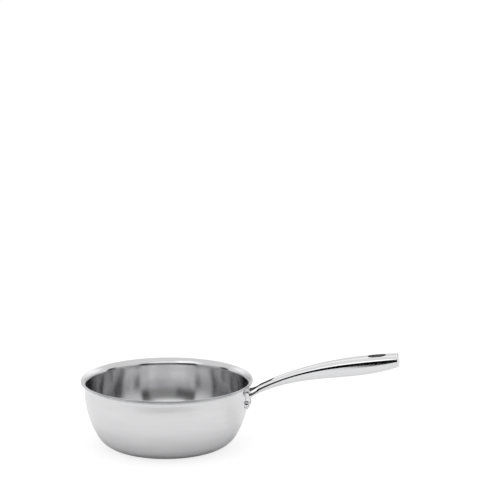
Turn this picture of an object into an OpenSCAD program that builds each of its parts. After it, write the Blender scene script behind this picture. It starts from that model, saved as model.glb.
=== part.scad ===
// Saucier pan: a round-sided bowl of bonded three-ply sheet with a flared pouring rim, and a
// hollow arched grip on a cast forked bracket that is riveted to the wall.
// Millimetres. Origin on the hob, under the centre of the bowl. The handle points along +X.

/* [Bowl] */
// Outside diameter of the upright wall, under the rim
wall_d = 202; // [170:2:240]
// Height of the bowl, from the hob to the top of the rim
bowl_h = 83; // [70:1:100]
// Radius of the long curve of the side, on the outside
side_r = 106; // [96:1:130]
// Radius of the turn from the base into the side, on the outside
corner_r = 29; // [20:1:34]
// Height of the upright band between the side's curve and the flare
upright_h = 5; // [2:0.5:8]
// Radius that the rim flares out on, on the outside
flare_r = 6.5; // [5:0.5:9]
// Angle that the flare turns through
flare_turn = 74; // [60:1:80]

/* [Sheet] */
// Thickness of the magnetic steel skin outside
skin_t = 0.5; // [0.4:0.1:0.8]
// Thickness of the aluminium core
core_t = 1.6; // [1.2:0.1:2.4]
// Thickness of the stainless liner inside
liner_t = 0.5; // [0.4:0.1:0.8]

/* [Handle line] */
// Length of the handle, out from the upright wall
handle_len = 183; // [160:1:220]
// Drop from the pad's upper edge to the parting line at the wall
root_drop = 8.8; // [8.4:0.1:10]
// Rise of the parting line from the wall to the grip's end
rise = 54; // [40:1:65]
// Slope of the neck at the wall, in degrees
root_slope = 34; // [26:0.5:38]
// Slope of the grip at its end, in degrees
tip_slope = 9.5; // [0:0.5:14]

/* [Handle sections] */
// Height of the crown over the parting line at the wall
crown_root = 8.2; // [7:0.2:9]
// Height of the crown a third of the way along
crown_third = 5.7; // [5:0.1:8]
// Height of the crown two thirds of the way along
crown_two_thirds = 7.3; // [6:0.1:10]
// Height of the crown at the grip's end
crown_tip = 5.6; // [5:0.1:8]
// Depth of the belly under the parting line at the wall
belly_root = 2.6; // [2:0.2:5]
// Depth of the belly a third of the way along
belly_third = 8.8; // [6:0.2:11]
// Depth of the belly two thirds of the way along, at the palm swell
belly_two_thirds = 13.8; // [10:0.2:16]
// Depth of the belly at the grip's end
belly_tip = 9.2; // [7:0.2:11]
// Width of the neck at the wall, without its spread
width_root = 15; // [14:0.5:18]
// Width of the grip a third of the way along
width_third = 19.5; // [17:0.5:22]
// Width of the grip two thirds of the way along
width_two_thirds = 26; // [22:0.5:29]
// Width of the grip at its end
width_tip = 25; // [22:0.5:28]
// Thickness of the grip's pressed shells
shell_t = 1.2; // [0.8:0.1:1.6]
// Length of the cap that closes the grip's end
cap_len = 4; // [3:0.5:6]
// Rounding of the cap's edge
cap_round = 1.5; // [1:0.5:3]

/* [Bracket] */
// Thickness of the pad that is riveted to the wall
pad_t = 3; // [2:0.5:4]
// Gap between the pad's upper edge and the start of the flare
pad_clear = 0.5; // [0.2:0.1:1]
// Height of the pad
pad_h = 23.2; // [22:0.1:25]
// Radius of the ear round each lower rivet
ear_r = 5.8; // [5.2:0.2:6.4]
// Width of the pad above its ears
waist_w = 21; // [19:0.5:22]
// Radius that the pad is drawn in on, above each ear
waist_r = 5; // [3:0.5:8]
// Radius of the pad's upper corners
shoulder_r = 2.5; // [1.5:0.5:3.5]
// Width of the heat slot between the neck's two arms
slot_w = 10; // [8:0.1:10.5]
// Length of the heat slot, out from the wall
slot_len = 32; // [26:1:36]
// Distance that each arm spreads outwards at the pad
spread = 3; // [2:0.2:5]
// Length over which the arms spread
spread_len = 12; // [9:1:16]
// Solid length of the neck past the slot
bridge_len = 5; // [3:0.5:8]
// Length of the tang inside the grip
tang_len = 18; // [10:1:24]
// Gap all round the tang
tang_gap = 0.1; // [0.05:0.05:0.3]

/* [Rivets] */
// Diameter of the rivets' shanks
rivet_d = 5; // [4:0.5:5.5]
// Diameter of the heads inside the bowl
inner_head_d = 9.5; // [8:0.5:9.5]
// Height of the heads inside the bowl
inner_head_h = 1.8; // [1:0.1:2.5]
// Diameter of the formed heads on the pad
outer_head_d = 6.8; // [6:0.2:7]
// Height of the formed heads on the pad
outer_head_h = 1.2; // [0.8:0.1:2]
// Distance between the two lower rivets
rivet_pitch = 12; // [11:0.5:14]
// Height of the upper rivet over the lower two
rivet_rise = 7.9; // [7.5:0.1:8.2]
// Gap all round a shank in its hole
rivet_gap = 0.05; // [0.02:0.01:0.1]

/* [Hanging hole] */
// Length of the clear opening
hole_len = 22; // [18:1:26]
// Width of the clear opening
hole_w = 14; // [10:0.5:15]
// Wall of the tube that lines the opening
eyelet_t = 1.2; // [0.8:0.1:1.6]
// Distance from the middle of the opening to the grip's end
hole_back = 25; // [22:1:34]
// Gap between the tube and the shells' openings
eyelet_gap = 0.05; // [0.02:0.01:0.1]

/* [Hidden] */
$fn = 96;

wall_t = skin_t + core_t + liner_t;
wall_r = wall_d / 2;
reach = wall_r + handle_len;
flare_z = bowl_h - (flare_r + wall_t) * sin(flare_turn);
side_z = flare_z - upright_h;
side_x = wall_r - side_r;
// The corner's arc touches the side's arc from inside, which places the edge of the flat base.
base_r = side_x + sqrt(pow(side_r - corner_r, 2) - pow(side_z - corner_r, 2));
corner_end = -asin((side_z - corner_r) / (side_r - corner_r));

pad_high = flare_z - pad_clear;
lower_rivet_z = pad_high - pad_h + ear_r;
upper_rivet_z = lower_rivet_z + rivet_rise;
root_z = pad_high - root_drop;
tip_z = root_z + rise;

steel = [0.80, 0.80, 0.81];
polished = [0.88, 0.88, 0.89];
aluminium = [0.72, 0.73, 0.75];

function steps(from, to, count) = [for (i = [0 : count]) from + (to - from) * i / count];

function arc(centre, r, from, to, count) =
    [for (a = steps(from, to, count)) [centre[0] + r * cos(a), centre[1] + r * sin(a)]];

function backwards(list) = [for (i = [len(list) - 1 : -1 : 0]) list[i]];

function all_but_first(list) = [for (i = [1 : len(list) - 1]) list[i]];

// The bowl's half section at `depth` under its outer surface, from the axis to the rim's edge
function wall_line(depth) =
    concat([[0, depth]],
           arc([base_r, corner_r], corner_r - depth, -90, corner_end, 12),
           all_but_first(arc([side_x, side_z], side_r - depth, corner_end, 0, 16)),
           arc([wall_r + flare_r, flare_z], flare_r + depth, 180, 180 - flare_turn, 10));

module wall_band(near, far) {
    polygon(concat(wall_line(near), backwards(wall_line(far))));
}

module ply(near, far) {
    difference() {
        rotate_extrude()
            wall_band(near, far);
        all_rivets()
            rivet_hole();
    }
}

module bowl_outer_ply() {
    color(steel)
        ply(0, skin_t);
}

module bowl_middle_ply() {
    color(aluminium)
        ply(skin_t, skin_t + core_t);
}

module bowl_inner_ply() {
    color(steel)
        ply(skin_t + core_t, wall_t);
}

// The handle's parting line, a cubic curve in the plane y = 0. Its points are a third of the
// way apart along X, so t along it is also the share of the way along X.

pull = handle_len / 3;
line = [[wall_r, root_z],
        [wall_r + pull, root_z + pull * tan(root_slope)],
        [reach - pull, tip_z - pull * tan(tip_slope)],
        [reach, tip_z]];

function cubic(p, t) = pow(1 - t, 3) * p[0] + 3 * t * pow(1 - t, 2) * p[1]
                       + 3 * t * t * (1 - t) * p[2] + pow(t, 3) * p[3];
function cubic_slope(p, t) = 3 * pow(1 - t, 2) * (p[1] - p[0])
                             + 6 * t * (1 - t) * (p[2] - p[1]) + 3 * t * t * (p[3] - p[2]);
function share(x) = (x - wall_r) / handle_len;
function tilt(t) = let (d = cubic_slope(line, t)) atan2(d[1], d[0]);

// The smooth curve through four values, at t = 0, 1/3, 2/3 and 1
function through(v, t) = let (s = 3 * t)
    ((1 - s) * (2 - s) * (3 - s) * v[0] + 3 * s * (2 - s) * (3 - s) * v[1]
     + 3 * s * (s - 1) * (3 - s) * v[2] + s * (s - 1) * (s - 2) * v[3]) / 6;
crown = [crown_root, crown_third, crown_two_thirds, crown_tip];
belly = [belly_root, belly_third, belly_two_thirds, belly_tip];
width = [width_root, width_third, width_two_thirds, width_tip];

// How much fuller than an oval the section is: at the spread arms, the crown at the grip's end,
// and the belly at the four places of its depths
arm_square = 0.6;
crown_square = 1.2;
belly_square = [0, 0.7, 1.4, 0.3];

// The share of the arms' spread at x: all of it at the pad, and none past spread_len
spread_x = wall_r + pad_t;
function spread_at(x) = (1 + cos(180 * min(1, max(0, (x - spread_x) / spread_len)))) / 2;

// A quarter turn's cosine or sine, made fuller as `square` grows from 2
function fuller(value, square) = sign(value) * pow(abs(value), 2 / square);

// The point at `angle` of the section at t, `inset` inside the handle's surface. The section is
// half an oval over the parting line and a deeper half oval under it. It is squarer where the
// arms spread, the crown grows squarer towards the grip's end, and the belly at the palm swell.
function grip_point(t, inset, angle) =
    let (c = cubic(line, t),
         slope = tilt(t),
         apart = spread_at(c[0]),
         under = sin(angle) < 0,
         square = 2 + arm_square * apart + (under ? through(belly_square, t) : crown_square * max(0, t)),
         half = under ? through(belly, t) : through(crown, t),
         y = (through(width, t) / 2 + spread * apart - inset) * fuller(cos(angle), square),
         up = (half - inset) * fuller(sin(angle), square))
    [c[0] - up * sin(slope), y, c[1] + up * cos(slope)];

// A solid through rings of points, each ring with as many points as the next. The end faces are
// given as lists of a ring's own points.
module skin(rings, ends) {
    n = len(rings);
    m = len(rings[0]);
    sides = [for (i = [0 : n - 2], j = [0 : m - 1])
                let (k = (j + 1) % m)
                each [[i * m + j, (i + 1) * m + j, (i + 1) * m + k],
                      [i * m + j, (i + 1) * m + k, i * m + k]]];
    last = [for (face = ends) [for (j = [len(face) - 1 : -1 : 0]) (n - 1) * m + face[j]]];
    polyhedron(points = [for (ring = rings) each ring], faces = concat(sides, ends, last));
}

around = 36;
neck_rings = 20;
tang_rings = 6;
grip_rings = 40;
cap_rings = 8;
eyelet_rings = 12;

// The whole section at each of the places [t, inset]
module grip_solid(places) {
    skin([for (place = places)
             [for (j = [0 : around - 1]) grip_point(place[0], place[1], j * 360 / around)]],
         [[for (j = [0 : around - 1]) j]]);
}

// Half of the section as a pressed shell: the crown from 0 to 180 degrees, the belly from 180
module half_shell(start, from, to, count) {
    half = around / 2;
    skin([for (t = steps(from, to, count))
             concat([for (j = [0 : half]) grip_point(t, 0, start + j * 180 / half)],
                    [for (j = [half : -1 : 0]) grip_point(t, shell_t, start + j * 180 / half)])],
         [for (j = [0 : half - 1]) [j, j + 1, 2 * half - j, 2 * half + 1 - j]]);
}

slot_end = wall_r + slot_len;
neck_end = share(slot_end + bridge_len);
tang_end = share(slot_end + bridge_len + tang_len);
cap_start = share(reach - cap_len);
hole_t = share(reach - hole_back);

// A slot's outline: two round ends and the stretch between them
module round_slot(length, breadth) {
    for (side = [-1, 1])
        translate([side * (length - breadth) / 2, 0])
            circle(d = breadth);
    square([length - breadth, breadth], center = true);
}

// A prism of its child through the grip, square to it over the middle of the hanging hole
module through_grip() {
    c = cubic(line, hole_t);
    translate([c[0], 0, c[1]])
        rotate([0, -tilt(hole_t), 0])
            linear_extrude(height = 4 * belly_two_thirds, center = true)
                children();
}

module grip_shell(start) {
    difference() {
        half_shell(start, neck_end, cap_start, grip_rings);
        through_grip()
            round_slot(hole_len + 2 * (eyelet_t + eyelet_gap), hole_w + 2 * (eyelet_t + eyelet_gap));
    }
}

module grip_upper_shell() {
    color(polished)
        grip_shell(0);
}

module grip_lower_shell() {
    color(polished)
        grip_shell(180);
}

module grip_end_cap() {
    color(polished)
        grip_solid(concat([[cap_start, 0]],
                          [for (a = steps(0, 90, cap_rings))
                              [share(reach - cap_round * (1 - sin(a))), cap_round * (1 - cos(a))]]));
}

// The tube is cut off flush with the grip's own surface.
module hanging_eyelet() {
    near = share(reach - hole_back - hole_len);
    far = share(reach - hole_back + hole_len);
    color(polished)
        intersection() {
            through_grip()
                difference() {
                    round_slot(hole_len + 2 * eyelet_t, hole_w + 2 * eyelet_t);
                    round_slot(hole_len, hole_w);
                }
            grip_solid([for (t = steps(near, far, eyelet_rings)) [t, 0]]);
        }
}

// The bracket: a pad that follows the wall, a neck whose two arms spread to the pad's upper
// corners, and a tang

// Each side of the pad goes round the ear, in to the straight side and round the shoulder, and
// each arc touches the next.
module pad_outline() {
    ear_y = rivet_pitch / 2;
    waist_y = waist_w / 2 + waist_r;
    waist_z = lower_rivet_z + sqrt(pow(waist_r + ear_r, 2) - pow(waist_y - ear_y, 2));
    ear_turn = atan2(waist_z - lower_rivet_z, waist_y - ear_y);
    side = concat(arc([ear_y, lower_rivet_z], ear_r, -90, ear_turn, 16),
                  arc([waist_y, waist_z], waist_r, 180 + ear_turn, 180, 8),
                  arc([waist_w / 2 - shoulder_r, pad_high - shoulder_r], shoulder_r, 0, 90, 10));
    polygon(concat(side, [for (p = backwards(side)) [-p[0], p[1]]]));
}

module pad() {
    intersection() {
        rotate([90, 0, 90])
            linear_extrude(height = wall_r + 2 * pad_t)
                pad_outline();
        rotate_extrude()
            wall_band(-pad_t, 0);
    }
}

// The slot starts at the pad's face, as wide as the arms are spread, and ends round.
module heat_slot() {
    side = concat([for (x = steps(spread_x, spread_x + spread_len, 10))
                      [x, slot_w / 2 + spread * spread_at(x)]],
                  arc([slot_end - slot_w / 2, 0], slot_w / 2, 90, 0, 10));
    linear_extrude(height = 2 * tip_z)
        polygon(concat(side, [for (p = all_but_first(backwards(side))) [p[0], -p[1]]]));
}

module handle_bracket() {
    neck_start = share(wall_r - 1.5 * pad_t);
    color(polished)
        difference() {
            union() {
                pad();
                difference() {
                    grip_solid(concat([for (t = steps(neck_start, neck_end, neck_rings)) [t, 0]],
                                      [for (t = steps(neck_end, tang_end, tang_rings))
                                          [t, shell_t + tang_gap]]));
                    heat_slot();
                    rotate_extrude()
                        polygon(concat(wall_line(0), [[0, bowl_h]]));
                }
            }
            all_rivets()
                rivet_hole();
        }
}

// Rivets, each square to the wall: one between the neck's arms and two in the pad's ears

// Moves its children to the wall's outer surface at height z and `aside` of the middle, with
// +Z pointing out of the wall
module on_wall(z, aside) {
    lean = asin(max(0, side_z - z) / side_r);
    r = side_x + side_r * cos(lean);
    rotate([0, 0, asin(aside / r)])
        translate([r, 0, z])
            rotate([0, 90 + lean, 0])
                children();
}

module at_upper_rivet() {
    on_wall(upper_rivet_z, 0)
        children();
}

module at_lower_rivets() {
    for (side = [-1, 1])
        on_wall(lower_rivet_z, side * rivet_pitch / 2)
            children();
}

module all_rivets() {
    at_upper_rivet()
        children();
    at_lower_rivets()
        children();
}

module rivet_hole() {
    cylinder(d = rivet_d + 2 * rivet_gap, h = 4 * (wall_t + pad_t), center = true);
}

// A low dome of diameter d and height h
module rivet_head(d, h) {
    ball_r = (d * d / 4 + h * h) / (2 * h);
    intersection() {
        translate([0, 0, h - ball_r])
            sphere(r = ball_r);
        cylinder(d = d, h = 2 * h);
    }
}

// The inner head's rim bears on the hollow side of the wall, so its seat stands off by the
// wall's own hollow across the head.
module rivet() {
    hollow_r = wall_r - wall_t;
    seat = wall_t + hollow_r - sqrt(pow(hollow_r, 2) - pow(inner_head_d / 2, 2)) + rivet_gap / 2;
    translate([0, 0, -seat])
        mirror([0, 0, 1])
            rivet_head(inner_head_d, inner_head_h);
    translate([0, 0, -seat - inner_head_h / 2])
        cylinder(d = rivet_d, h = seat + pad_t + (inner_head_h + outer_head_h) / 2);
    translate([0, 0, pad_t])
        rivet_head(outer_head_d, outer_head_h);
}

module upper_rivet() {
    color(steel)
        at_upper_rivet()
            rivet();
}

module lower_rivets() {
    color(steel)
        at_lower_rivets()
            rivet();
}

bowl_outer_ply();
bowl_middle_ply();
bowl_inner_ply();
handle_bracket();
grip_upper_shell();
grip_lower_shell();
grip_end_cap();
hanging_eyelet();
upper_rivet();
lower_rivets();
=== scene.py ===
from math import asin, atan2, cos, degrees, pi, radians, sin, sqrt, tan

import bpy
from mathutils import Matrix, Vector


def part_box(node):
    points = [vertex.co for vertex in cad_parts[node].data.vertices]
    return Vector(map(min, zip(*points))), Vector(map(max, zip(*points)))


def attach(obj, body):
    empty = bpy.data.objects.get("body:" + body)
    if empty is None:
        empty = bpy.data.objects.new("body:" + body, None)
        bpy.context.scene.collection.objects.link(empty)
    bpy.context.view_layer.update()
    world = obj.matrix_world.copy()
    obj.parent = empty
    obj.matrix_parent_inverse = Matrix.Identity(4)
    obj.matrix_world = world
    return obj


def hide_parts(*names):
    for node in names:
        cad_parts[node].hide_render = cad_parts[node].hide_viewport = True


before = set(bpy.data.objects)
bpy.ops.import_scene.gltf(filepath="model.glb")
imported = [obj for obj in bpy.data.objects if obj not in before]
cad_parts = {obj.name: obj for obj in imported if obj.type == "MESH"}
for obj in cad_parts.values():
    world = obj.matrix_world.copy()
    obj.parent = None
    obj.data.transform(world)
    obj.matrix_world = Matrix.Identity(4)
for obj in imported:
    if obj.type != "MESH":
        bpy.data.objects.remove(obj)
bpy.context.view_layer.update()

# The bowl's sheet
# The bowl is pressed from one bonded sheet: magnetic stainless steel outside, aluminium in the
# middle and a stainless liner inside. The rim is flared for pouring and its edge is ground.
mm = 0.001
skin_t = 0.5 * mm
core_t = 1.6 * mm
liner_t = 0.5 * mm
sheet_t = skin_t + core_t + liner_t
wall_r = 101 * mm
side_r = 106 * mm
corner_r = 29 * mm
upright_h = 5 * mm
flare_r = 6.5 * mm
flare_turn = 74
bowl_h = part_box("bowl_inner_ply")[1].z
flare_z = bowl_h - (flare_r + sheet_t) * sin(radians(flare_turn))
side_z = flare_z - upright_h
side_x = wall_r - side_r
base_r = side_x + sqrt((side_r - corner_r) ** 2 - (side_z - corner_r) ** 2)
corner_end = -degrees(asin((side_z - corner_r) / (side_r - corner_r)))
edge_break = 0.3 * mm
spin_steps = 216
merge_gap = 0.001 * mm


def arc(x, z, r, start, end, count):
    """Points round a centre, from one angle to another in degrees."""
    turns = [radians(start + (end - start) * i / count) for i in range(count + 1)]
    return [(x + r * cos(a), z + r * sin(a)) for a in turns]


def sheet_line(depth):
    """The bowl's half section at a depth under its outer surface, from the axis to the rim."""
    corner = arc(base_r, corner_r, corner_r - depth, -90, corner_end, 14)
    side = arc(side_x, side_z, side_r - depth, corner_end, 0, 40)
    flare = arc(wall_r + flare_r, flare_z, flare_r + depth, 180, 180 - flare_turn, 18)
    return [(0, depth)] + corner + side[1:] + flare


def select_nothing():
    if bpy.context.object and bpy.context.object.mode != "OBJECT":
        bpy.ops.object.mode_set(mode="OBJECT")
    bpy.ops.object.select_all(action="DESELECT")


def pick(piece):
    """Makes a piece the one that is selected and active."""
    select_nothing()
    piece.select_set(True)
    bpy.context.view_layer.objects.active = piece


def outline_piece(name, points):
    """A closed loop of edges through points in the XZ plane, bent from a circle."""
    select_nothing()
    bpy.ops.mesh.primitive_circle_add(vertices=len(points), radius=wall_r)
    piece = bpy.context.object
    piece.name = name
    for vertex, (x, z) in zip(piece.data.vertices, points):
        vertex.co = (x, 0, z)
    return piece


def turned_piece(name, points, steps):
    """Spins a closed section round Z. Its first and last points lie on the axis."""
    piece = outline_piece(name, points)
    last = len(points) - 1
    for edge in piece.data.edges:
        edge.select = set(edge.vertices) == {0, last}
    for vertex in piece.data.vertices:
        vertex.select = False
    bpy.ops.object.mode_set(mode="EDIT")
    bpy.ops.mesh.select_mode(type="EDGE")
    bpy.ops.mesh.delete(type="EDGE")
    bpy.ops.mesh.select_mode(type="VERT")
    bpy.ops.mesh.select_all(action="SELECT")
    bpy.ops.mesh.spin(steps=steps, angle=2 * pi, center=(0, 0, 0), axis=(0, 0, 1))
    bpy.ops.mesh.select_all(action="SELECT")
    bpy.ops.mesh.remove_doubles(threshold=merge_gap)
    bpy.ops.mesh.normals_make_consistent(inside=False)
    bpy.ops.object.mode_set(mode="OBJECT")
    return piece


def bevel_where(piece, chosen, width, segments=3):
    """Rounds the edges whose two ends both pass the test."""
    mesh = piece.data
    passed = [chosen(vertex.co) for vertex in mesh.vertices]
    pick(piece)
    bpy.ops.object.mode_set(mode="EDIT")
    bpy.ops.mesh.select_mode(type="EDGE")
    bpy.ops.mesh.select_all(action="DESELECT")
    bpy.ops.object.mode_set(mode="OBJECT")
    for edge in mesh.edges:
        edge.select = all(passed[i] for i in edge.vertices)
    bpy.ops.object.mode_set(mode="EDIT")
    bpy.ops.mesh.bevel(offset=width, segments=segments, affect="EDGES")
    bpy.ops.object.mode_set(mode="OBJECT")


def smooth(piece, angle=35):
    pick(piece)
    bpy.ops.object.shade_smooth_by_angle(angle=radians(angle))


def finish_piece(piece, slot, *nodes):
    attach(piece, "root")
    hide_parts(*nodes)


def at_ring(point):
    """A test for the vertices on the circle round Z through an (x, z) point."""
    near = 0.02 * mm
    ring_r, ring_z = point
    return lambda co: abs(Vector((co.x, co.y)).length - ring_r) < near and abs(co.z - ring_z) < near


# The finishes
# A finish is a node group that gives a shade, a roughness and a normal. The bowl's steel is brushed
# round in fine grooves, broken up a little along their length, and the handle's is polished.
def new_group(name, inputs, outputs):
    group = bpy.data.node_groups.new(name, "ShaderNodeTree")
    for title, kind, value in inputs:
        socket = group.interface.new_socket(title, in_out="INPUT", socket_type=kind)
        socket.default_value = value
    for title, kind in outputs:
        group.interface.new_socket(title, in_out="OUTPUT", socket_type=kind)
    return group, group.nodes.new("NodeGroupInput"), group.nodes.new("NodeGroupOutput")


def maths(tree, operation, first, second=None):
    node = tree.nodes.new("ShaderNodeMath")
    node.operation = operation
    for socket, value in zip(node.inputs, (first, second)):
        if isinstance(value, (int, float)):
            socket.default_value = value
        elif value is not None:
            tree.links.new(value, socket)
    return node.outputs[0]


def ranged(tree, value, low, high, from_low=0.3, from_high=0.7):
    node = tree.nodes.new("ShaderNodeMapRange")
    tree.links.new(value, node.inputs["Value"])
    node.inputs["From Min"].default_value = from_low
    node.inputs["From Max"].default_value = from_high
    for title, bound in (("To Min", low), ("To Max", high)):
        if isinstance(bound, (int, float)):
            node.inputs[title].default_value = bound
        else:
            tree.links.new(bound, node.inputs[title])
    return node.outputs["Result"]


def give_finish(group, taken, given, tint, rougher, marks, strength, distance):
    """Ends a group: the shade tinted, the roughness raised, and the marks as a bump."""
    shade = group.nodes.new("ShaderNodeVectorMath")
    shade.operation = "SCALE"
    group.links.new(taken.outputs["Shade"], shade.inputs[0])
    group.links.new(tint, shade.inputs["Scale"])
    group.links.new(shade.outputs[0], given.inputs["Color"])
    group.links.new(maths(group, "ADD", taken.outputs["Roughness"], rougher),
                    given.inputs["Roughness"])
    bump = group.nodes.new("ShaderNodeBump")
    bump.inputs["Distance"].default_value = distance
    group.links.new(taken.outputs[strength], bump.inputs["Strength"])
    group.links.new(marks, bump.inputs["Height"])
    group.links.new(bump.outputs[0], given.inputs["Normal"])


finish_sockets = [("Color", "NodeSocketColor"), ("Roughness", "NodeSocketFloat"),
                  ("Normal", "NodeSocketVector")]


def brushed_round():
    group, taken, given = new_group(
        "brushed_round",
        [("Lines per metre", "NodeSocketFloat", 2500.0), ("Depth", "NodeSocketFloat", 0.1),
         ("Shade", "NodeSocketColor", (0.8, 0.8, 0.81, 1)), ("Variation", "NodeSocketFloat", 0.04),
         ("Roughness", "NodeSocketFloat", 0.3), ("Roughness variation", "NodeSocketFloat", 0.05)],
        finish_sockets)
    place = group.nodes.new("ShaderNodeTexCoord").outputs["Object"]
    split = group.nodes.new("ShaderNodeSeparateXYZ")
    group.links.new(place, split.inputs[0])
    squares = maths(group, "ADD", maths(group, "MULTIPLY", split.outputs[0], split.outputs[0]),
                    maths(group, "MULTIPLY", split.outputs[1], split.outputs[1]))
    radius = maths(group, "SQRT", maths(group, "ADD", squares, 1e-9))
    heading_x = maths(group, "DIVIDE", split.outputs[0], radius)
    heading_y = maths(group, "DIVIDE", split.outputs[1], radius)

    def grooves(across, along, detail):
        """Noise that changes fast across the grooves and slowly along them."""
        fast = maths(group, "MULTIPLY", taken.outputs["Lines per metre"], across)
        spot = group.nodes.new("ShaderNodeCombineXYZ")
        group.links.new(maths(group, "MULTIPLY", heading_x, along), spot.inputs[0])
        group.links.new(maths(group, "MULTIPLY", heading_y, along), spot.inputs[1])
        group.links.new(maths(group, "MULTIPLY", split.outputs[2], fast), spot.inputs[2])
        noise = group.nodes.new("ShaderNodeTexNoise")
        noise.noise_dimensions = "4D"
        group.links.new(spot.outputs[0], noise.inputs["Vector"])
        group.links.new(maths(group, "MULTIPLY", radius, fast), noise.inputs["W"])
        noise.inputs["Scale"].default_value = 1.0
        noise.inputs["Detail"].default_value = detail
        return noise.outputs["Fac"]

    fine = grooves(1.0, 6.0, 3.0)
    broad = grooves(0.06, 2.0, 2.0)
    tint = ranged(group, broad, maths(group, "SUBTRACT", 1.0, taken.outputs["Variation"]), 1.0)
    swing = maths(group, "MULTIPLY", taken.outputs["Roughness variation"],
                  maths(group, "SUBTRACT", fine, 0.5))
    give_finish(group, taken, given, tint, swing, fine, "Depth", 0.02 * mm)
    return group


brushing = brushed_round()


def new_material(name):
    material = bpy.data.materials.new(name)
    material.use_nodes = True
    shader = material.node_tree.nodes["Principled BSDF"]
    shader.inputs["Metallic"].default_value = 1.0
    return material, material.node_tree, shader


def use_finish(tree, shader, finish, shade, roughness):
    """Puts a finish's group before the shader and returns the group's node."""
    group = tree.nodes.new("ShaderNodeGroup")
    group.node_tree = finish
    group.inputs["Shade"].default_value = (*shade, 1)
    group.inputs["Roughness"].default_value = roughness
    tree.links.new(group.outputs["Color"], shader.inputs["Base Color"])
    tree.links.new(group.outputs["Roughness"], shader.inputs["Roughness"])
    tree.links.new(group.outputs["Normal"], shader.inputs["Normal"])
    return group


def brushed_steel(name, shade, roughness, depth, anisotropy):
    material, tree, shader = new_material(name)
    group = use_finish(tree, shader, brushing, shade, roughness)
    group.inputs["Depth"].default_value = depth
    shader.inputs["Anisotropic"].default_value = anisotropy
    shader.inputs["Anisotropic Rotation"].default_value = 0.25
    tangent = tree.nodes.new("ShaderNodeTangent")
    tangent.direction_type = "RADIAL"
    tangent.axis = "Z"
    tree.links.new(tangent.outputs[0], shader.inputs["Tangent"])
    return material


def bowl_ply(name, near, far, material):
    """One ply of the sheet, with its exposed corners at the rim broken."""
    near_line, far_line = sheet_line(near), sheet_line(far)
    piece = turned_piece(name, near_line + far_line[::-1], spin_steps)
    if near == 0:
        bevel_where(piece, at_ring(near_line[-1]), edge_break)
    if far == sheet_t:
        bevel_where(piece, at_ring(far_line[-1]), edge_break)
    smooth(piece)
    piece.data.materials.append(material)
    return piece


# The outer skin
# Magnetic stainless steel, brushed round the bowl to a satin finish. It is the ply that an
# induction hob heats.
satin = brushed_steel("satin_skin", (0.80, 0.80, 0.81), 0.21, 0.10, 0.5)
outer_skin = bowl_ply("bowl_outer_skin", 0, skin_t, satin)
finish_piece(outer_skin, "outer_skin", "bowl_outer_ply")

# The aluminium core
# It shows only as a matt line at the rim's ground edge, and it carries the heat up the sides.
core_metal, tree, shader = new_material("core_aluminium")
shader.inputs["Base Color"].default_value = (0.72, 0.73, 0.75, 1)
shader.inputs["Roughness"].default_value = 0.42
core = bowl_ply("bowl_core", skin_t, skin_t + core_t, core_metal)
finish_piece(core, "core", "bowl_middle_ply")

# The liner
# Stainless steel, brushed round the bowl more lightly than the outside.
lining = brushed_steel("brushed_liner", (0.70, 0.70, 0.71), 0.15, 0.06, 0.75)
liner = bowl_ply("bowl_liner", skin_t + core_t, sheet_t, lining)
finish_piece(liner, "liner", "bowl_inner_ply")

# The handle's line and section
# The bracket's neck and the hollow grip share one line and one section: a crown over the parting
# line and a deeper belly under it. The neck is cast, and the grip is two pressed shells.
pad_clear = 0.5 * mm
pad_high = flare_z - pad_clear
root_drop = 8.8 * mm
root_z = pad_high - root_drop
rise = 54 * mm
handle_len = 183 * mm
reach = wall_r + handle_len
root_slope = 34
tip_slope = 9.5
crown = [8.2 * mm, 5.7 * mm, 7.3 * mm, 5.6 * mm]
belly = [2.6 * mm, 8.8 * mm, 13.8 * mm, 9.2 * mm]
width = [15 * mm, 19.5 * mm, 26 * mm, 25 * mm]
shell_t = 1.2 * mm
pad_t = 3 * mm
spread = 3 * mm
spread_len = 12 * mm
arm_square = 0.6
crown_square = 1.2
belly_square = [0, 0.7, 1.4, 0.3]
pull = handle_len / 3
line_z = [root_z, root_z + pull * tan(radians(root_slope)),
          root_z + rise - pull * tan(radians(tip_slope)), root_z + rise]


def share(x):
    return (x - wall_r) / handle_len


def line_at(t):
    weights = [(1 - t) ** 3, 3 * t * (1 - t) ** 2, 3 * t * t * (1 - t), t ** 3]
    return wall_r + t * handle_len, sum(w * z for w, z in zip(weights, line_z))


def tilt_at(t):
    steps = [b - a for a, b in zip(line_z, line_z[1:])]
    climb = 3 * ((1 - t) ** 2 * steps[0] + 2 * t * (1 - t) * steps[1] + t * t * steps[2])
    return atan2(climb, handle_len)


def through(values, t):
    """The smooth curve through four values, at t = 0, 1/3, 2/3 and 1"""
    s = 3 * t
    a, b, c, d = values
    return ((1 - s) * (2 - s) * (3 - s) * a + 3 * s * (2 - s) * (3 - s) * b
            + 3 * s * (s - 1) * (3 - s) * c + s * (s - 1) * (s - 2) * d) / 6


def spread_at(x):
    return (1 + cos(pi * min(1, max(0, (x - wall_r - pad_t) / spread_len)))) / 2


def fuller(value, square):
    return (1 if value > 0 else -1) * abs(value) ** (2 / square)


def grip_point(t, inset, angle):
    """The point at an angle of the section at t, with the whole section drawn in by inset."""
    x, z = line_at(t)
    tilt = tilt_at(t)
    apart = spread_at(x)
    c, s = cos(radians(angle)), sin(radians(angle))
    under = s < -1e-9
    square = 2 + arm_square * apart + (through(belly_square, t) if under else crown_square * max(0, t))
    half = through(belly, t) if under else through(crown, t)
    side = (through(width, t) / 2 + spread * apart - inset) * fuller(c, square)
    up = (half - inset) * fuller(s, square)
    return Vector((x - up * sin(tilt), side, z + up * cos(tilt)))


def evenly(low, high, count):
    return [low + (high - low) * i / count for i in range(count + 1)]


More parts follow.
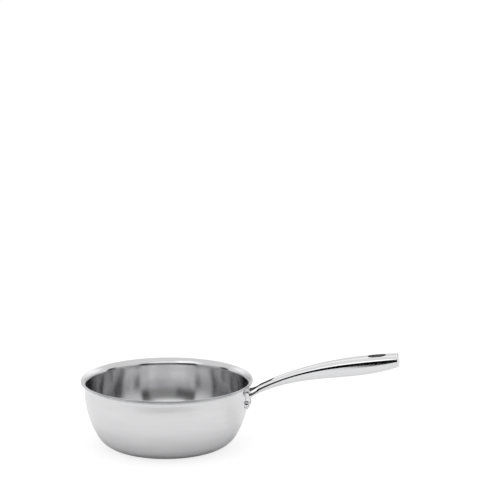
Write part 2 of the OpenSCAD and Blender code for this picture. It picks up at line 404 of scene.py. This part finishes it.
def swept_sheet(name, places, angles):
    """A grid laid over the handle's surface, one row for each place (t, inset)."""
    select_nothing()
    bpy.ops.mesh.primitive_grid_add(x_subdivisions=len(places) - 1,
                                    y_subdivisions=len(angles) - 1, size=1)
    piece = bpy.context.object
    piece.name = name
    for vertex in piece.data.vertices:
        i = round((vertex.co.x + 0.5) * (len(places) - 1))
        j = round((vertex.co.y + 0.5) * (len(angles) - 1))
        vertex.co = grip_point(*places[i], angles[j])
    return piece


def close_up(piece):
    """Merges the seam, fills the open ends and turns the faces outwards."""
    bpy.ops.object.mode_set(mode="EDIT")
    bpy.ops.mesh.select_all(action="SELECT")
    bpy.ops.mesh.remove_doubles(threshold=merge_gap)
    bpy.ops.mesh.fill_holes(sides=0)
    bpy.ops.mesh.select_all(action="SELECT")
    bpy.ops.mesh.normals_make_consistent(inside=False)
    bpy.ops.object.mode_set(mode="OBJECT")


def swept_solid(name, places, around=96):
    piece = swept_sheet(name, places, evenly(0, 360, around))
    close_up(piece)
    return piece


def modify(piece, kind, **settings):
    """Adds a modifier and applies it."""
    pick(piece)
    modifier = piece.modifiers.new(kind.lower(), kind)
    for key, value in settings.items():
        setattr(modifier, key, value)
    bpy.ops.object.modifier_apply(modifier=modifier.name)


def cut(piece, tool, operation="DIFFERENCE"):
    modify(piece, "BOOLEAN", object=tool, operation=operation, solver="EXACT")
    bpy.data.objects.remove(tool)


def place_piece(piece, matrix):
    piece.data.transform(matrix)
    piece.data.update()


def polished_along():
    """Wheel marks along the handle, hardly deep enough to see, slow waves and duller patches."""
    group, taken, given = new_group(
        "polished_along",
        [("Shade", "NodeSocketColor", (0.86, 0.86, 0.87, 1)), ("Roughness", "NodeSocketFloat", 0.1),
         ("Roughness variation", "NodeSocketFloat", 0.04), ("Wheel marks", "NodeSocketFloat", 0.05)],
        finish_sockets)
    place = group.nodes.new("ShaderNodeTexCoord").outputs["Object"]

    def streaks(scale, stretch, detail):
        mapping = group.nodes.new("ShaderNodeMapping")
        mapping.inputs["Scale"].default_value = (scale / stretch, scale, scale)
        group.links.new(place, mapping.inputs["Vector"])
        noise = group.nodes.new("ShaderNodeTexNoise")
        group.links.new(mapping.outputs[0], noise.inputs["Vector"])
        noise.inputs["Scale"].default_value = 1.0
        noise.inputs["Detail"].default_value = detail
        return noise.outputs["Fac"]

    marks = streaks(3000.0, 30.0, 2.0)
    patches = streaks(60.0, 2.0, 3.0)
    tint = ranged(group, patches, 0.97, 1.0)
    rougher = maths(group, "MULTIPLY", taken.outputs["Roughness variation"], patches)
    give_finish(group, taken, given, tint, rougher, marks, "Wheel marks", 0.01 * mm)
    return group


polish = polished_along()


def polished_steel(name, shade, roughness, wheel_marks=0.05):
    material, tree, shader = new_material(name)
    group = use_finish(tree, shader, polish, shade, roughness)
    group.inputs["Wheel marks"].default_value = wheel_marks
    return material


# The bracket
# One stainless casting: a pad that follows the wall, with an ear round each lower rivet, a neck
# that forks round the heat slot, and a tang in the grip. Its corners are soft from the casting
# and from polishing. The pad's back and the face that meets the grip are machined.
pad_h = 23.2 * mm
ear_r = 5.8 * mm
waist_w = 21 * mm
waist_r = 5 * mm
shoulder_r = 2.5 * mm
slot_w = 10 * mm
slot_len = 32 * mm
bridge_len = 5 * mm
tang_len = 18 * mm
tang_gap = 0.1 * mm
rivet_pitch = 12 * mm
casting_grain = 0.3 * mm
slot_end = wall_r + slot_len
neck_end = share(slot_end + bridge_len)
tang_end = share(slot_end + bridge_len + tang_len)
lower_rivet_z = pad_high - pad_h + ear_r


def pad_outline():
    """Round the ear, in to the straight side and round the shoulder, then the same mirrored."""
    ear_y = rivet_pitch / 2
    waist_y = waist_w / 2 + waist_r
    waist_z = lower_rivet_z + sqrt((waist_r + ear_r) ** 2 - (waist_y - ear_y) ** 2)
    ear_turn = degrees(atan2(waist_z - lower_rivet_z, waist_y - ear_y))
    side = (arc(ear_y, lower_rivet_z, ear_r, -90, ear_turn, 16)
            + arc(waist_y, waist_z, waist_r, 180 + ear_turn, 180, 8)
            + arc(waist_w / 2 - shoulder_r, pad_high - shoulder_r, shoulder_r, 0, 90, 8))
    return side + [(-y, z) for y, z in side[::-1]]


def prism(name, points, low, high):
    """An outline in the XZ plane, filled and pushed out from y = low to y = high."""
    piece = outline_piece(name, points)
    bpy.ops.object.mode_set(mode="EDIT")
    bpy.ops.mesh.select_all(action="SELECT")
    bpy.ops.transform.translate(value=(0, low, 0))
    bpy.ops.mesh.edge_face_add()
    bpy.ops.mesh.extrude_region_move(TRANSFORM_OT_translate={"value": (0, high - low, 0)})
    bpy.ops.mesh.select_all(action="SELECT")
    bpy.ops.mesh.normals_make_consistent(inside=False)
    bpy.ops.object.mode_set(mode="OBJECT")
    return piece


def wall_solid(name, depth):
    """The bowl as one solid block, out to a depth under its outer surface."""
    top = [(sheet_line(depth)[-1][0], bowl_h + pad_t), (0, bowl_h + pad_t)]
    return turned_piece(name, sheet_line(depth) + top, spin_steps)


bracket = prism("handle_bracket_casting", pad_outline(), wall_r - 4 * pad_t, wall_r + 2 * pad_t)
place_piece(bracket, Matrix.Rotation(-pi / 2, 4, "Z"))
cut(bracket, wall_solid("pad_face", -pad_t), "INTERSECT")

# The neck starts inside the wall and runs a little past the cut that ends it, as shares of the
# handle's length.
neck_start = share(wall_r - 1.5 * pad_t)
past_end = 0.02
neck = swept_solid("neck", [(t, 0) for t in evenly(neck_start, neck_end + past_end, 60)])
slot_side = ([(x, slot_w / 2 + spread * spread_at(x))
              for x in evenly(wall_r + pad_t, wall_r + pad_t + spread_len, 16)]
             + arc(slot_end - slot_w / 2, 0, slot_w / 2, 90, 0, 12))
slot_high = 200 * mm
slot_tool = prism("slot_tool", slot_side + [(x, -y) for x, y in slot_side[-2::-1]], -slot_high, 0)
place_piece(slot_tool, Matrix.Rotation(-pi / 2, 4, "X"))
cut(neck, slot_tool)
cut(bracket, neck, "UNION")
modify(bracket, "REMESH", mode="VOXEL", voxel_size=casting_grain, adaptivity=0)
modify(bracket, "SMOOTH", factor=0.5, iterations=6)
cut(bracket, wall_solid("wall_tool", 0))

tang_start = neck_end - past_end / 2
tang = swept_solid("tang", [(t, shell_t + tang_gap) for t in evenly(tang_start, tang_end, 12)])
end_x, end_z = line_at(neck_end)
end_tilt = tilt_at(neck_end)
pick(bracket)
bpy.ops.object.mode_set(mode="EDIT")
bpy.ops.mesh.select_all(action="SELECT")
bpy.ops.mesh.bisect(plane_co=(end_x, 0, end_z), plane_no=(cos(end_tilt), 0, sin(end_tilt)),
                    use_fill=True, clear_outer=True)
bpy.ops.object.mode_set(mode="OBJECT")
cut(bracket, tang, "UNION")
smooth(bracket, 40)
bracket.data.materials.append(polished_steel("cast_bracket_steel", (0.81, 0.81, 0.82), 0.10))
# The slot's inner walls get a second, near-black material. This is painted shade for the shade deep in
# the forked slot, not a colour of the casting.
bracket.data.materials.append(polished_steel("slot_painted_shade", (0.07, 0.07, 0.072), 0.5, 0.6))
reached = 0.35 * mm
upward = 0.6
# The faces on the slot's walls that face sideways take the painted shade.
for face in bracket.data.polygons:
    x, y = face.center.x, abs(face.center.y)
    round_end = Vector((max(0, x - slot_end + slot_w / 2), y)).length < slot_w / 2 + reached
    straight = x < slot_end - slot_w / 2 and y < slot_w / 2 + spread * spread_at(x) + reached
    if x > wall_r + pad_t + reached and (straight or round_end) and abs(face.normal.z) < upward:
        face.material_index = 1
finish_piece(bracket, "bracket", "handle_bracket")

# The hanging hole's tube
# A short stainless tube with round ends, welded through both shells and ground flush with them.
# Its bore is left as drawn, so it is rougher than the grip. Its colour is also darkened, which is
# painted shade for the shade deep in the hole.
cap_len = 4 * mm
hole_len = 22 * mm
hole_w = 14 * mm
eyelet_t = 1.2 * mm
eyelet_gap = 0.05 * mm
hole_back = 25 * mm
hole_reach = 30 * mm
hole_t = share(reach - hole_back)
cap_start = share(reach - cap_len)


def slot_prism(name, grown):
    """The hanging hole's outline, grown all round, pushed through the grip square to it."""
    half = (hole_len - hole_w) / 2
    r = hole_w / 2 + grown
    points = arc(half, 0, r, -90, 90, 20) + arc(-half, 0, r, 90, 270, 20)
    piece = prism(name, points, -hole_reach, hole_reach)
    x, z = line_at(hole_t)
    stand = Matrix.Rotation(-pi / 2, 4, "X")
    lean = Matrix.Rotation(-tilt_at(hole_t), 4, "Y")
    place_piece(piece, Matrix.Translation((x, 0, z)) @ lean @ stand)
    return piece


grip_steel = polished_steel("polished_grip", (0.81, 0.81, 0.82), 0.08)
# The bore's darker colour is painted shade for the shade inside the hole. Its higher roughness is the
# drawn finish.
bore_steel_painted_shade = polished_steel("drawn_bore_painted_shade", (0.45, 0.45, 0.46), 0.35, 0.3)
eyelet = slot_prism("hanging_hole_tube", eyelet_t)
space_start = share(reach - hole_back - hole_len)
cut(eyelet, swept_solid("grip_space", [(t, 0) for t in evenly(space_start, cap_start, 60)]), "INTERSECT")
cut(eyelet, slot_prism("bore", 0))
smooth(eyelet, 30)
eyelet.data.materials.append(grip_steel)
eyelet.data.materials.append(bore_steel_painted_shade)
reached = 0.1 * mm
axis_x, axis_z = line_at(hole_t)
into_hole = Matrix.Rotation(tilt_at(hole_t), 4, "Y") @ Matrix.Translation((-axis_x, 0, -axis_z))
# The bore's faces take the rougher material with the painted shade.
for face in eyelet.data.polygons:
    spot = into_hole @ face.center
    off = Vector((max(0, abs(spot.x) - (hole_len - hole_w) / 2), spot.y)).length
    if off < hole_w / 2 + reached:
        face.material_index = 1
finish_piece(eyelet, "eyelet", "hanging_eyelet")

# The grip's two shells
# Each is pressed from 1.2 mm stainless sheet. They are welded along the parting line, and the
# weld is ground and polished until only a hairline is left.
def grip_shell(name, start, node):
    piece = swept_sheet(name, [(t, 0) for t in evenly(neck_end, cap_start, 150)],
                        evenly(start + 180, start, 60))
    modify(piece, "SOLIDIFY", thickness=shell_t, offset=-1, use_even_offset=True)
    cut(piece, slot_prism("shell_hole", eyelet_t + eyelet_gap))
    smooth(piece, 40)
    piece.data.materials.append(grip_steel)
    finish_piece(piece, "grip", node)
    return piece


upper_shell = grip_shell("grip_crown_shell", 0, "grip_upper_shell")
lower_shell = grip_shell("grip_belly_shell", 180, "grip_lower_shell")

# The grip's end cap
# A small pressing that closes the hollow grip. Its edge is rounded and its face is flat.
cap_round = 1.5 * mm
cap_edge = [(share(reach - cap_round * (1 - sin(radians(a)))), cap_round * (1 - cos(radians(a))))
            for a in evenly(0, 90, 12)]
cap = swept_solid("grip_end_cap_pressing", [(cap_start, 0)] + cap_edge)
smooth(cap, 40)
cap.data.materials.append(grip_steel)
finish_piece(cap, "grip", "grip_end_cap")

# The rivets
# Stainless rivets are pushed through from inside, where they keep a broad low head, and set
# outside into a smaller dome on the pad.
rivet_d = 5 * mm
inner_head_d = 9.5 * mm
inner_head_h = 1.8 * mm
outer_head_d = 6.8 * mm
outer_head_h = 1.2 * mm
rivet_rise = 7.9 * mm
rivet_gap = 0.05 * mm
upper_rivet_z = lower_rivet_z + rivet_rise
hollow_r = wall_r - sheet_t
seat = sheet_t + hollow_r - sqrt(hollow_r ** 2 - (inner_head_d / 2) ** 2) + rivet_gap / 2
head_edge = 0.35 * mm
rivet_steel = brushed_steel("rivet_steel", (0.80, 0.80, 0.81), 0.22, 0.05, 0.0)


def dome(d, h, base, way):
    """A low dome's section from its edge to the axis: a short upright edge, then the crown."""
    crown_h = h - head_edge
    ball_r = (d * d / 4 + crown_h * crown_h) / (2 * crown_h)
    reach_up = degrees(asin(d / 2 / ball_r))
    crown_line = arc(0, head_edge + crown_h - ball_r, ball_r, 90 - reach_up, 90, 12)
    return [(d / 2, base)] + [(r, base + way * z) for r, z in crown_line]


def rivet(name, z, aside):
    inner = dome(inner_head_d, inner_head_h, -seat, -1)
    outer = dome(outer_head_d, outer_head_h, pad_t, 1)
    shank = [(rivet_d / 2, -seat), (rivet_d / 2, pad_t)]
    piece = turned_piece(name, inner[::-1] + shank + outer, 48)
    lean = asin(max(0, side_z - z) / side_r)
    r = side_x + side_r * cos(lean)
    turn = Matrix.Rotation(asin(aside / r), 4, "Z")
    stand = Matrix.Translation((r, 0, z)) @ Matrix.Rotation(pi / 2 + lean, 4, "Y")
    place_piece(piece, turn @ stand)
    smooth(piece, 30)
    piece.data.materials.append(rivet_steel)
    return piece


upper_rivet = rivet("upper_rivet_set", upper_rivet_z, 0)
finish_piece(upper_rivet, "rivets", "upper_rivet")
lower_rivets = [rivet(f"lower_rivet_{side}", lower_rivet_z, way * rivet_pitch / 2)
                for side, way in (("near", -1), ("far", 1))]
for piece in lower_rivets:
    finish_piece(piece, "rivets", "lower_rivets")

# The studio
# A pale table that ends in front of the pan, a soft lamp overhead, and a white surround. A dark card
# behind the camera and a flag on each side draw the dark lines on the steel, and brighter strips
# behind the pan, beside it and over the card, and a weak fill in it, draw the bright ones.
view_azimuth = radians(8.86)
view_down = radians(10.95)
table_front = 0.42
table_back = 8.0
select_nothing()
bpy.ops.mesh.primitive_plane_add(size=2 * table_back, location=(0, table_back - table_front, -0.1 * mm))
table = bpy.context.object
table.name = "table_top"
place_piece(table, Matrix.Translation(table.location))
table.location = (0, 0, 0)
place_piece(table, Matrix.Rotation(view_azimuth, 4, "Z"))
seen_glow = 0.7
paper = bpy.data.materials.new("pale_table")
paper.use_nodes = True
tree = paper.node_tree
shader = tree.nodes["Principled BSDF"]
shader.inputs["Base Color"].default_value = (0.80, 0.80, 0.80, 1)
shader.inputs["Roughness"].default_value = 0.9
shader.inputs["Specular IOR Level"].default_value = 0.0
glow = tree.nodes.new("ShaderNodeEmission")
glow.inputs["Strength"].default_value = 1.15
path = tree.nodes.new("ShaderNodeLightPath")
seen = tree.nodes.new("ShaderNodeMixShader")
tree.links.new(maths(tree, "MULTIPLY", path.outputs["Is Camera Ray"], seen_glow), seen.inputs[0])
tree.links.new(shader.outputs[0], seen.inputs[1])
tree.links.new(glow.outputs[0], seen.inputs[2])
tree.links.new(seen.outputs[0], tree.nodes["Material Output"].inputs["Surface"])
table.data.materials.append(paper)

world = bpy.data.worlds.new("white_surround")
bpy.context.scene.world = world
world.use_nodes = True
tree = world.node_tree
background = tree.nodes["Background"]


def window(tree, value, low, high, soft):
    """1 between low and high, falling to 0 over a soft edge on each side."""
    rise = ranged(tree, value, 0.0, 1.0, low - soft, low + soft)
    fall = ranged(tree, value, 1.0, 0.0, high - soft, high + soft)
    return maths(tree, "MULTIPLY", rise, fall)


def field(across, left, right, side_soft, low, high, top_soft):
    """A field of the surround between two headings and two elevations, in degrees."""
    return maths(tree, "MULTIPLY",
                 window(tree, across, radians(left), radians(right), radians(side_soft)),
                 window(tree, elevation, radians(low), radians(high), radians(top_soft)))


# An elevation is over the horizon. `towards` is 0 at the camera's side and negative to its left,
# and `sideways` is its size, so a field in `sideways` lies on both sides.
heading = tree.nodes.new("ShaderNodeTexCoord").outputs["Generated"]
split = tree.nodes.new("ShaderNodeSeparateXYZ")
tree.links.new(heading, split.inputs[0])
elevation = maths(tree, "ARCSINE", split.outputs[2])
towards = maths(tree, "ARCTAN2", split.outputs[0], maths(tree, "MULTIPLY", split.outputs[1], -1.0))
towards = maths(tree, "SUBTRACT", towards, view_azimuth)
sideways = maths(tree, "ARCCOSINE", maths(tree, "COSINE", towards))
walls = ranged(tree, elevation, 0.35, 0.88, radians(8), radians(28))
left_rear = window(tree, towards, radians(-200), radians(-145), radians(8))
weaker_left = ranged(tree, left_rear, 1.0, 0.55, 0.0, 1.0)
rear = maths(tree, "MULTIPLY", field(sideways, 122, 200, 6, 6, 36, 5), weaker_left)
side = field(sideways, 99, 120, 3, 0, 22, 5)
horizon = field(sideways, 168, 200, 4, -5, 10, 4)
bank = field(sideways, -90, 26, 6, 24, 42, 4)
strip = field(towards, -56, -16, 4, 30, 60, 3)
fill = field(towards, -12, 30, 3, 8, 26, 4)
card = field(sideways, -90, 43, 3, -90, 28, 2)
flags = field(sideways, 83, 98, 2, -90, 24, 3)
bright = walls
for light, strength in ((rear, 0.45), (side, 0.40), (horizon, 0.30), (bank, 0.55), (strip, 0.48)):
    bright = maths(tree, "ADD", bright, maths(tree, "MULTIPLY", light, strength))
card_level = 0.01
flag_cover = 0.9
fill_level = 0.22
hidden = maths(tree, "MAXIMUM", card, maths(tree, "MULTIPLY", flags, flag_cover))
level = maths(tree, "MULTIPLY", bright, ranged(tree, hidden, 1.0, card_level, 0.0, 1.0))
level = maths(tree, "MAXIMUM", level, maths(tree, "MULTIPLY", fill, fill_level))
path = tree.nodes.new("ShaderNodeLightPath")
tree.links.new(maths(tree, "MAXIMUM", path.outputs["Is Camera Ray"], level),
               background.inputs["Strength"])
background.inputs["Color"].default_value = (1, 1, 1, 1)

select_nothing()
bpy.ops.object.light_add(type="AREA", location=(0, -0.2, 1.8))
lamp = bpy.context.object
lamp.name = "overhead_softbox"
lamp.data.shape = "SQUARE"
lamp.data.size = 1.2
lamp.data.energy = 10.5
lamp.visible_glossy = False

# The camera
# It stands a long way back and looks a little down at the pan, as in the photograph.
bpy.ops.object.camera_add(location=(0.459, -2.3616, 0.7215),
                          rotation=(pi / 2 - view_down, 0, view_azimuth))
camera = bpy.context.object
camera.data.sensor_width = 36
camera.data.lens = 151.4
camera.data.clip_end = 50
bpy.context.scene.camera = camera
bpy.context.scene.view_settings.view_transform = "Standard"
